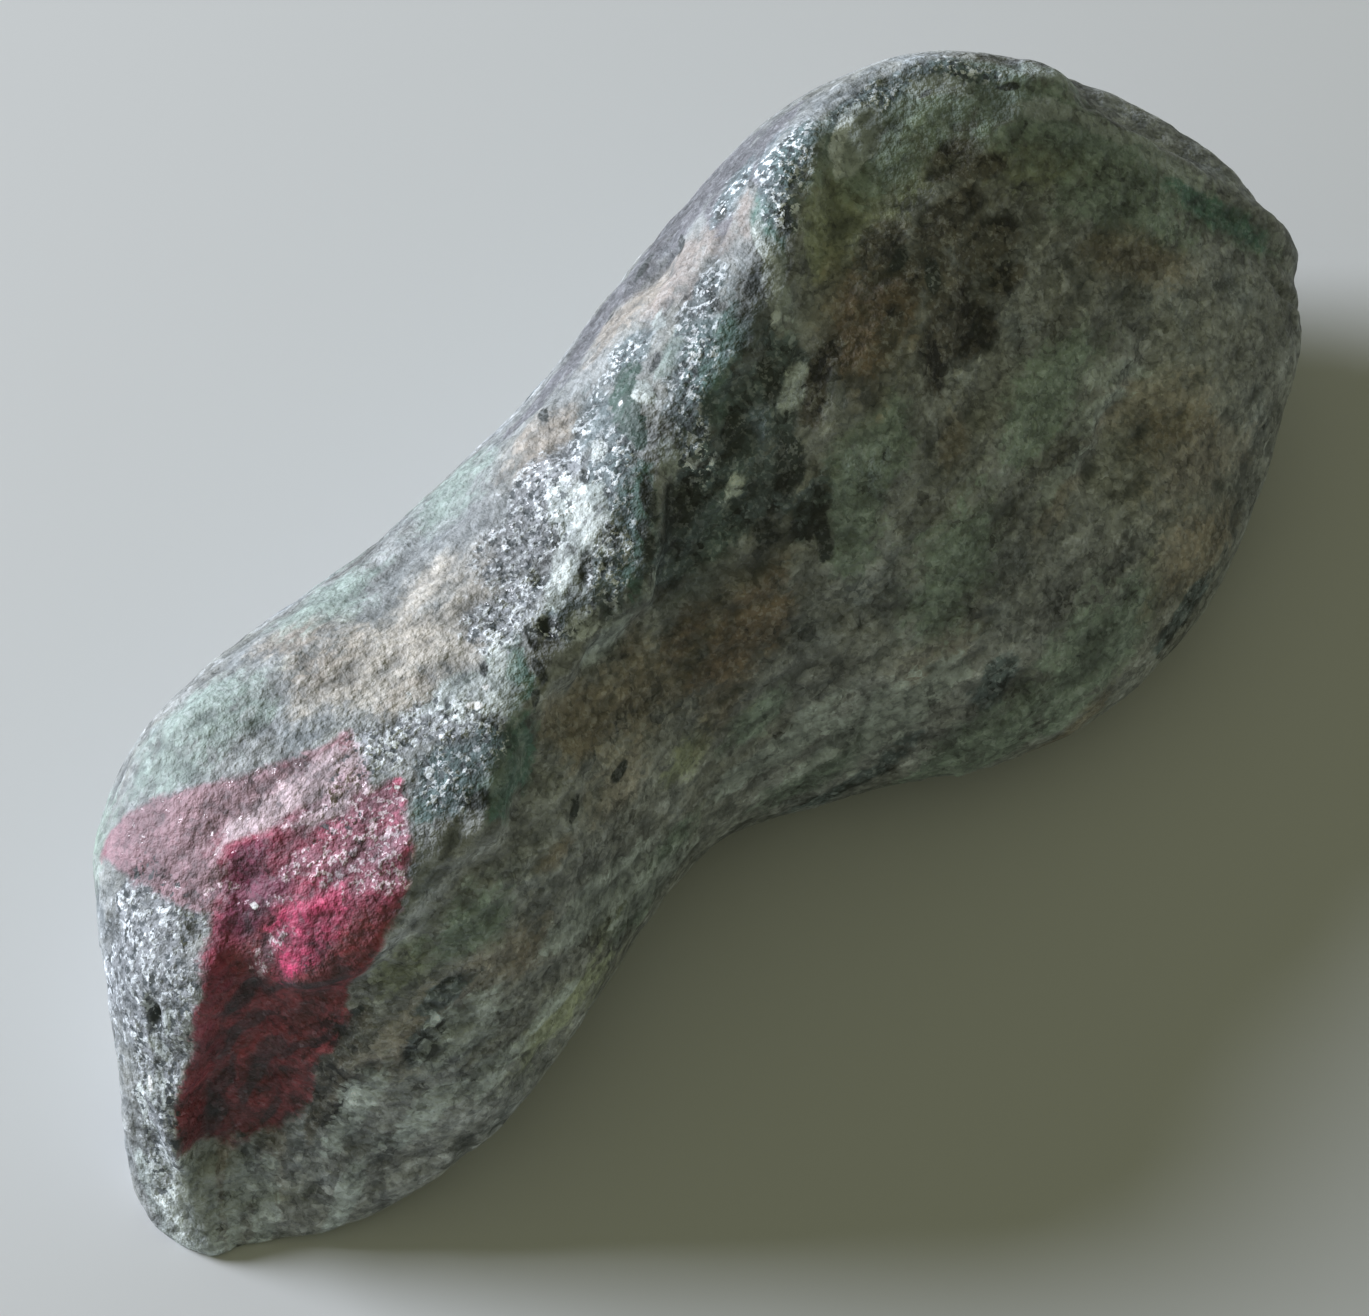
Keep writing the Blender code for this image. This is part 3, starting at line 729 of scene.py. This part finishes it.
# each mineral's closeness at the points: the nearest of its ovals counts
def mineralValues(minerals, outline, points, around, skin, ragged):
    values = {}
    for mineral, ovals in minerals.items():
        nearest = np.full(points.shape[:2], -1.0)
        for along, rail, length, width, *turn in ovals:
            spot = flatSpot(points, around, skin, along, rail)
            nearest = np.maximum(nearest, ovalCloseness(ragged, spot, length, width, *turn))
        values[mineral] = nearest
    places = [flatSpot(points, around, skin, *place) for place in outline]
    values["ruby"] = np.clip(insideDistance(ragged, places), -2, 2)
    return values


# links a socket into an input, or puts a plain value in it
def feed(material, node, place, value):
    if isinstance(value, bpy.types.NodeSocket):
        material.node_tree.links.new(value, node.inputs[place])
    else:
        node.inputs[place].default_value = value


# a shader node of the given kind, with its settings and its inputs
def addNode(material, kind, settings, inputs):
    node = material.node_tree.nodes.new(kind)
    for label, value in settings.items():
        setattr(node, label, value)
    for place, value in inputs.items():
        feed(material, node, place, value)
    return node


# one arithmetic operation on two values
def calculate(material, operation, first, second=0.0):
    node = addNode(material, "ShaderNodeMath", {"operation": operation}, {0: first, 1: second})
    return node.outputs[0]


# the sum of values, each times its weight
def weighted(material, *pairs):
    total = 0.0
    for value, weight in pairs:
        node = addNode(material, "ShaderNodeMath", {"operation": "MULTIPLY_ADD"},
                       {0: value, 1: weight, 2: total})
        total = node.outputs[0]
    return total


# a soft step of a value from one level to another
def ramp(material, value, low, high, start=0.0, end=1.0):
    node = addNode(material, "ShaderNodeMapRange", {"interpolation_type": "SMOOTHSTEP"},
                   {0: value, 1: low, 2: high, 3: start, 4: end})
    return node.outputs[0]


# the first colour blended with the second by a share
def blend(material, share, first, second, mode="MIX"):
    node = addNode(material, "ShaderNodeMix", {"data_type": "RGBA", "blend_type": mode},
                   {0: share, 6: first, 7: second})
    return node.outputs[2]


# noise between about -1 and 1 with features of the given size in mm; each seed reads the
# noise at a place of its own
def noiseValue(material, places, size, seed, detail=2.0, distortion=0.0):
    moved = addNode(material, "ShaderNodeVectorMath", {"operation": "ADD"},
                    {0: places, 1: (37.0 * seed, 11.0 * seed, 5.0 * seed)}).outputs[0]
    node = addNode(material, "ShaderNodeTexNoise", {},
                   {"Vector": moved, "Scale": 1 / size, "Detail": detail, "Roughness": 0.6,
                    "Distortion": distortion})
    return weighted(material, (node.outputs[0], 3.2), (1.0, -1.6))


# grains: two random values and a random colour for each cell of the given size in mm, and the
# distance from the cell's middle in cells
def grainCells(material, places, size):
    node = addNode(material, "ShaderNodeTexVoronoi", {}, {"Vector": places, "Scale": 1 / size})
    split = addNode(material, "ShaderNodeSeparateColor", {}, {0: node.outputs["Color"]})
    return split.outputs[0], split.outputs[1], node.outputs["Color"], node.outputs["Distance"]


# one of the values that the mesh carries at its points
def attributeValue(material, label):
    node = addNode(material, "ShaderNodeAttribute", {"attribute_name": label}, {})
    return node.outputs["Fac"]


stoneColors = {
    "grey": (0.285, 0.305, 0.320, 1),
    "greyOlive": (0.240, 0.250, 0.232, 1),
    "blueGrey": (0.240, 0.272, 0.300, 1),
    "lightMottle": (0.47, 0.50, 0.52, 1),
    "darkMottle": (0.080, 0.092, 0.094, 1),
    "ruby": (0.285, 0.050, 0.092, 1),
    # bright crimson of the ruby's lit face: partly its own colour, partly painted light
    "rubyBright": (0.560, 0.062, 0.160, 1),
    "rubyDeep": (0.165, 0.034, 0.072, 1),
    "rubyDusty": (0.285, 0.178, 0.208, 1),
    "rubyFilm": (0.460, 0.270, 0.350, 1),
    "rubyFleck": (0.900, 0.740, 0.830, 1),
    # colour of the painted glints
    "glossAndPaintedGlint": (0.95, 0.96, 0.97, 1),
    "frostWhite": (0.80, 0.86, 0.92, 1),
    # near-black of the dark flecks, also used as painted shade in pits and grooves
    "darkFleckAndPaintedShade": (0.034, 0.045, 0.050, 1),
    "rubyShade": (0.205, 0.038, 0.048, 1),
    "rubyStreak": (0.080, 0.030, 0.038, 1),
    "rubyPale": (0.430, 0.335, 0.370, 1),
    # the ruby's parts in the order they are laid on, and where each one's edge starts and ends
    "rubyParts": [
        ("rubyShade", -0.3, 0.3), ("rubyStreak", -0.1, 0.4), ("rubyDeep", -0.1, 0.5),
        ("rubyBright", -0.1, 0.5), ("rubyDusty", -0.2, 0.4), ("rubyPale", -0.2, 0.4),
    ],
    # each mineral's colour, how soft its edge is, and how much of it shows
    "minerals": {
        "bluish": ((0.245, 0.268, 0.280, 1), 0.9, 0.65),
        "warmGrey": ((0.330, 0.305, 0.270, 1), 0.7, 0.80),
        "olive": ((0.300, 0.335, 0.235, 1), 0.6, 0.92),
        "green": ((0.205, 0.268, 0.232, 1), 0.6, 0.88),
        "brown": ((0.205, 0.175, 0.132, 1), 0.7, 0.75),
        "rust": ((0.178, 0.134, 0.092, 1), 0.6, 0.85),
        "teal": ((0.088, 0.180, 0.155, 1), 0.5, 0.90),
        "beige": ((0.335, 0.300, 0.262, 1), 0.7, 0.88),
        "cream": ((0.440, 0.415, 0.375, 1), 0.7, 0.85),
        "rose": ((0.270, 0.235, 0.218, 1), 0.7, 0.85),
        "mint": ((0.260, 0.335, 0.310, 1), 0.7, 0.85),
        "lilac": ((0.115, 0.115, 0.135, 1), 0.5, 0.85),
        "slate": ((0.112, 0.142, 0.158, 1), 0.9, 0.80),
        "dark": ((0.062, 0.086, 0.097, 1), 0.4, 0.90),
        "umber": ((0.072, 0.066, 0.053, 1), 0.45, 0.92),
        "frost": ((0.100, 0.140, 0.155, 1), 0.5, 0.80),
        "speckled": ((0.255, 0.272, 0.298, 1), 0.6, 0.90),
        "flatGreen": ((0.026, 0.060, 0.047, 1), 0.25, 0.95),
        "pale": ((0.380, 0.430, 0.430, 1), 0.4, 0.88),
        "white": ((0.600, 0.660, 0.660, 1), 0.35, 0.90),
        "hornblende": ((0.022, 0.028, 0.027, 1), 0.35, 0.95),
    },
}


# zoisite rock with hornblende and a ruby: the matrix colour drifts between greys, then each
# mineral is laid over it where its closeness plus noise passes a soft threshold; small noises
# then speckle it, most where it is frosted, and its dents are darker than its tops
def stoneMaterial(colors):
    material = bpy.data.materials.new("ruby in zoisite")
    material.use_nodes = True
    shader = material.node_tree.nodes["Principled BSDF"]
    origin = addNode(material, "ShaderNodeTexCoord", {}, {}).outputs["Object"]
    places = addNode(material, "ShaderNodeMapping", {},
                     {0: origin, 3: (1 / mm, 1 / mm, 1 / mm)}).outputs[0]
    streaked = addNode(material, "ShaderNodeMapping", {},
                       {0: places, 2: (0, 0, 0.17), 3: (0.45, 1, 1)}).outputs[0]

    broad = noiseValue(material, places, 4.0, 1, 3.0)
    middle = noiseValue(material, streaked, 1.0, 2, 4.0, 0.8)
    small = noiseValue(material, streaked, 0.40, 3, 3.0, 0.5)
    wander = addNode(material, "ShaderNodeTexNoise", {},
                     {"Vector": places, "Scale": 3.0, "Detail": 2.0}).outputs["Color"]
    grainPlaces = addNode(material, "ShaderNodeVectorMath", {"operation": "MULTIPLY_ADD"},
                          {0: wander, 1: (0.25, 0.25, 0.25), 2: places}).outputs[0]
    blobPlaces = addNode(material, "ShaderNodeVectorMath", {"operation": "MULTIPLY_ADD"},
                         {0: wander, 1: (0.9, 0.9, 0.9), 2: streaked}).outputs[0]
    blob, _, _, blobDistance = grainCells(material, blobPlaces, 0.62)
    crumb, crumbMix, _, crumbDistance = grainCells(material, grainPlaces, 0.34)
    speck, speckMix, speckColor, _ = grainCells(material, grainPlaces, 0.14)
    ragged = weighted(material, (middle, 0.30), (small, 0.20), (crumb, 0.26), (speck, 0.12),
                      (1.0, -0.19))

    color = blend(material, ramp(material, broad, -0.6, 0.6), colors["grey"], colors["greyOlive"])
    color = blend(material, ramp(material, noiseValue(material, places, 2.2, 5, 4.0), 0.0, 0.8),
                  color, colors["blueGrey"])
    light = weighted(material, (noiseValue(material, streaked, 0.8, 6, 4.0, 0.5), 1.0),
                     (crumbMix, 1.0), (1.0, -0.5))
    color = blend(material, ramp(material, light, 0.35, 0.75, 0, 0.6), color,
                  colors["lightMottle"])
    dark = weighted(material, (noiseValue(material, streaked, 0.9, 7, 4.0, 0.5), 1.0),
                    (crumbMix, -1.0), (1.0, 0.5))
    color = blend(material, ramp(material, dark, 0.35, 0.75, 0, 0.5), color,
                  colors["darkMottle"])

    closeness = {}
    for mineral, (tint, reach, strength) in colors["minerals"].items():
        closeness[mineral] = weighted(material, (attributeValue(material, mineral), 1.0),
                                      (ragged, 1.0))
        share = ramp(material, closeness[mineral], 0.0, reach, 0.0, strength)
        color = blend(material, share, color, tint)

    rubyDistance = weighted(material, (attributeValue(material, "ruby"), 1.0), (ragged, 0.45))
    rubyShare = ramp(material, rubyDistance, -0.12, 0.18)
    ruby = colors["ruby"]
    for label, low, high in colors["rubyParts"]:
        value = weighted(material, (attributeValue(material, label), 1.0), (ragged, 1.0))
        ruby = blend(material, ramp(material, value, low, high), ruby, colors[label])
    film = weighted(material, (attributeValue(material, "rubyFilm"), 1.0), (ragged, 1.0))
    ruby = blend(material, ramp(material, film, -0.1, 0.8, 0.0, 0.5), ruby, colors["rubyFilm"])
    color = blend(material, rubyShare, color, ruby)

    # speckles: pale and dark flecks of about a fifth of a millimetre
    whiteNoise = noiseValue(material, places, 0.20, 8, 2.0)
    darkNoise = noiseValue(material, places, 0.24, 9, 2.0)
    frost = ramp(material, closeness["frost"], -0.1, 0.6)
    plainGreen = ramp(material, closeness["flatGreen"], -0.1, 0.3, 1.0, 0.1)
    plainPale = ramp(material, closeness["pale"], 0.0, 0.5, 1.0, 0.35)
    frost = calculate(material, "MULTIPLY", frost, calculate(
        material, "MULTIPLY", plainGreen, plainPale))
    patches = ramp(material, noiseValue(material, streaked, 1.0, 10, 3.0, 0.6), -0.45, 0.15,
                   0.15, 1.0)
    frost = calculate(material, "MAXIMUM", calculate(material, "MULTIPLY", frost, patches),
                      ramp(material, closeness["speckled"], -0.1, 0.6))
    rubyFrost = calculate(material, "MULTIPLY", ramp(material, film, -0.1, 0.5, 0.03, 0.9),
                          rubyShare)
    outside = calculate(material, "SUBTRACT", 1.0, rubyShare)
    flecks = ramp(material, weighted(material, (whiteNoise, 1.0), (speckMix, 0.8), (1.0, -0.4)),
                  0.05, 0.40)
    color = blend(material, calculate(material, "MULTIPLY", flecks, calculate(
        material, "MULTIPLY", ramp(material, frost, 0.0, 1.0, 0.10, 0.85), outside)),
        color, colors["frostWhite"])
    color = blend(material, calculate(material, "MULTIPLY", flecks, rubyFrost), color,
                  colors["rubyFleck"])
    holes = ramp(material, weighted(material, (darkNoise, 1.0), (speckMix, -0.8), (1.0, 0.4)),
                 0.15, 0.50)
    color = blend(material, calculate(material, "MULTIPLY", holes, ramp(
        material, frost, 0.0, 1.0, 0.30, 0.92)), color, colors["darkFleckAndPaintedShade"])
    calm = calculate(material, "MAXIMUM", calculate(
        material, "MAXIMUM", ramp(material, closeness["mint"], -0.2, 0.4),
        ramp(material, closeness["beige"], -0.2, 0.4)),
        ramp(material, closeness["bluish"], -0.2, 0.4))
    calm = calculate(material, "MAXIMUM", calm, ramp(material, closeness["cream"], -0.2, 0.4))
    inky = calculate(material, "MAXIMUM", ramp(material, closeness["dark"], -0.1, 0.4),
                     ramp(material, closeness["umber"], -0.1, 0.4))
    lively = weighted(material, (ramp(material, calm, 0.0, 1.0, 1.10, 0.50), 1.0), (inky, 1.3))
    # painted shade: the fine relief's tops are lightened and its dents darkened, along with the
    # grains' random tone
    variation = weighted(material, (ramp(material, attributeValue(material, "paintedReliefShade"),
                                         -1.0, 1.0, -0.30, 0.30), 1.0), (crumb, 0.50),
                         (speck, 0.36), (small, 0.42), (middle, 0.20), (crumbDistance, -0.50),
                         (blob, 0.60), (blobDistance, -0.60), (1.0, -0.16))
    shade = weighted(material, (calculate(material, "MULTIPLY", variation, lively), 1.0),
                     (1.0, 1.38))
    shade = calculate(material, "MAXIMUM", shade, 0.22)
    shadeColor = addNode(material, "ShaderNodeCombineColor", {}, {0: shade, 1: shade, 2: shade})
    color = blend(material, 1.0, color, shadeColor.outputs[0], "MULTIPLY")
    # painted shade: pits and the grooves between grains are darkened
    color = blend(material, calculate(material, "MULTIPLY", attributeValue(
        material, "paintedPitShade"), 0.5), color, colors["darkFleckAndPaintedShade"])
    color = blend(material, calculate(material, "MULTIPLY", attributeValue(
        material, "paintedGrooveShade"), 0.40), color, colors["darkFleckAndPaintedShade"])
    # painted glints: near-white spots laid over the colour
    color = blend(material, ramp(material, attributeValue(material, "glossAndPaintedGlint"), 0.0, 0.3), color,
                  colors["glossAndPaintedGlint"])
    feed(material, shader, "Base Color", color)

    glossAndPaintedGlint = ramp(material, speck, 0.93, 0.97)
    roughness = ramp(material, calculate(material, "MULTIPLY", glossAndPaintedGlint, ramp(
        material, calculate(material, "MAXIMUM", frost, rubyShare), 0.0, 1.0, 0.2, 1.0)),
        0.0, 1.0, 0.66, 0.32)
    feed(material, shader, "Roughness", roughness)
    shader.inputs["IOR"].default_value = 1.6

    tilt = addNode(material, "ShaderNodeVectorMath", {"operation": "SUBTRACT"},
                   {0: speckColor, 1: (0.5, 0.5, 0.5)}).outputs[0]
    tilt = addNode(material, "ShaderNodeVectorMath", {"operation": "SCALE"},
                   {0: tilt, 3: ramp(material, frost, 0.0, 1.0, 0.2, 0.6)}).outputs[0]
    surface = addNode(material, "ShaderNodeNewGeometry", {}, {}).outputs["Normal"]
    tilted = addNode(material, "ShaderNodeVectorMath", {"operation": "ADD"},
                     {0: surface, 1: tilt}).outputs[0]
    tilted = addNode(material, "ShaderNodeVectorMath", {"operation": "NORMALIZE"},
                     {0: tilted}).outputs[0]
    bumpHeight = weighted(material, (whiteNoise, 0.5), (darkNoise, -0.5), (crumb, 0.8),
                          (crumbDistance, -0.8))
    bump = addNode(material, "ShaderNodeBump", {},
                   {"Height": bumpHeight, "Distance": 0.00004, "Normal": tilted})
    feed(material, shader, "Normal", bump.outputs[0])
    return material


# the stone: its plain form moved out along its normals by the landforms and the relief,
# fitted to its box again, with its minerals as values at its points
def addStone():
    low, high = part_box("stone")
    low, high = np.array(low), np.array(high)
    plain, around = plainStone(stoneForm, low, high)
    normals = gridNormals(plain)
    skin = flatMap(plain, around, stoneForm["crestRail"])
    ragged = skin + np.stack([
        0.20 * latticeNoise(plain, 1.6, 31) + 0.14 * latticeNoise(plain, 0.6, 33),
        0.20 * latticeNoise(plain, 1.6, 32) + 0.14 * latticeNoise(plain, 0.6, 34)], -1)
    height = landformHeights(stoneLandforms, plain, around, skin, ragged)
    rough, paintedReliefShade, paintedPitShade, paintedGrooveShade = reliefHeights(stoneRelief, plain)
    points = fitted(plain + normals * ((height + rough) * mm)[..., None], low, high)
    points[..., 2] = np.maximum(points[..., 2], 0)
    values = mineralValues(stoneMinerals, rubyOutline, plain, around, skin, ragged)
    # relief values that the material uses only to paint shade
    values["paintedReliefShade"] = paintedReliefShade
    values["paintedPitShade"] = paintedPitShade
    values["paintedGrooveShade"] = paintedGrooveShade
    piece = closedGrid("stone_surface", points, values)
    piece.data.materials.append(stoneMaterial(stoneColors))
    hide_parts("stone")
    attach(piece, "root")
    print("stone surface:", len(piece.data.vertices), "points")
    return piece


# the room: floor, light and camera

roomLook = {
    "floorColor": (0.76, 0.78, 0.80, 1),
    "flatRadius": 0.45,
    "rimRadius": 1.3,
    "rimHeight": 0.22,
    "ambientColor": (0.160, 0.162, 0.104, 1),
    "keyDirection": (0.353, -0.856, 0.38),
    "keyDistance": 0.45,
    "keyDiameter": 0.18,
    "keyPower": 2.80,
    "keyColor": (0.935, 0.965, 1.055),
}


# a round sweep: flat in the middle, then rising with a soft step to its rim
def addFloor(look):
    radius = np.concatenate([np.linspace(0.01, look["flatRadius"], 12),
                             np.linspace(look["flatRadius"], look["rimRadius"], 30)[1:]])
    turn = np.linspace(0, 2 * np.pi, 96, endpoint=False)
    share = np.clip((radius - look["flatRadius"]) / (look["rimRadius"] - look["flatRadius"]), 0, 1)
    height = look["rimHeight"] * share ** 2 * (3 - 2 * share)
    grid = np.stack([radius[:, None] * np.cos(turn), radius[:, None] * np.sin(turn),
                     np.broadcast_to(height[:, None], (len(radius), len(turn)))], -1)
    count = len(turn)
    row, column = np.meshgrid(np.arange(len(radius) - 1), np.arange(count), indexing="ij")
    following = (column + 1) % count
    faces = np.stack([row * count + column, (row + 1) * count + column,
                      (row + 1) * count + following, row * count + following], -1)
    mesh = bpy.data.meshes.new("floor")
    mesh.from_pydata(grid.reshape(-1, 3).tolist(), [],
                     faces.reshape(-1, 4).tolist() + [list(range(count))])
    mesh.shade_smooth()
    floor = bpy.data.objects.new("floor", mesh)
    bpy.context.collection.objects.link(floor)
    material = bpy.data.materials.new("pale paper")
    material.use_nodes = True
    shader = material.node_tree.nodes["Principled BSDF"]
    shader.inputs["Base Color"].default_value = look["floorColor"]
    shader.inputs["Roughness"].default_value = 0.9
    shader.inputs["Specular IOR Level"].default_value = 0.2
    mesh.materials.append(material)


# a round lamp that shines from the key direction, and an even ambient light
def addLight(look):
    key = bpy.data.lights.new("key", "AREA")
    key.shape = "DISK"
    key.size = look["keyDiameter"]
    key.energy = look["keyPower"]
    key.color = look["keyColor"]
    lamp = bpy.data.objects.new("key", key)
    towards = Vector(look["keyDirection"]).normalized()
    lamp.location = towards * look["keyDistance"]
    lamp.rotation_euler = towards.to_track_quat("Z", "Y").to_euler()
    bpy.context.collection.objects.link(lamp)
    world = bpy.data.worlds.new("room")
    world.use_nodes = True
    world.node_tree.nodes["Background"].inputs["Color"].default_value = look["ambientColor"]
    bpy.context.scene.world = world
    bpy.context.scene.view_settings.view_transform = "Standard"


cameraPlace = {
    "azimuth": 132,
    "elevation": 62.5,
    "distance": 0.1632,
    "target": (0.001175, 0.000367, 0.007),
    "lens": 151.5,
}


# a camera at an azimuth, elevation and distance from its target, looking at it
def addCamera(place):
    azimuth, elevation = np.radians(place["azimuth"]), np.radians(place["elevation"])
    back = Vector((np.sin(azimuth) * np.cos(elevation), -np.cos(azimuth) * np.cos(elevation),
                   np.sin(elevation)))
    data = bpy.data.cameras.new("camera")
    data.lens = place["lens"]
    data.clip_start = 0.01
    data.clip_end = 10
    camera = bpy.data.objects.new("camera", data)
    camera.location = Vector(place["target"]) + back * place["distance"]
    camera.rotation_euler = back.to_track_quat("Z", "Y").to_euler()
    bpy.context.collection.objects.link(camera)
    bpy.context.scene.camera = camera


addCamera(cameraPlace)
addLight(roomLook)
addFloor(roomLook)
addStone()
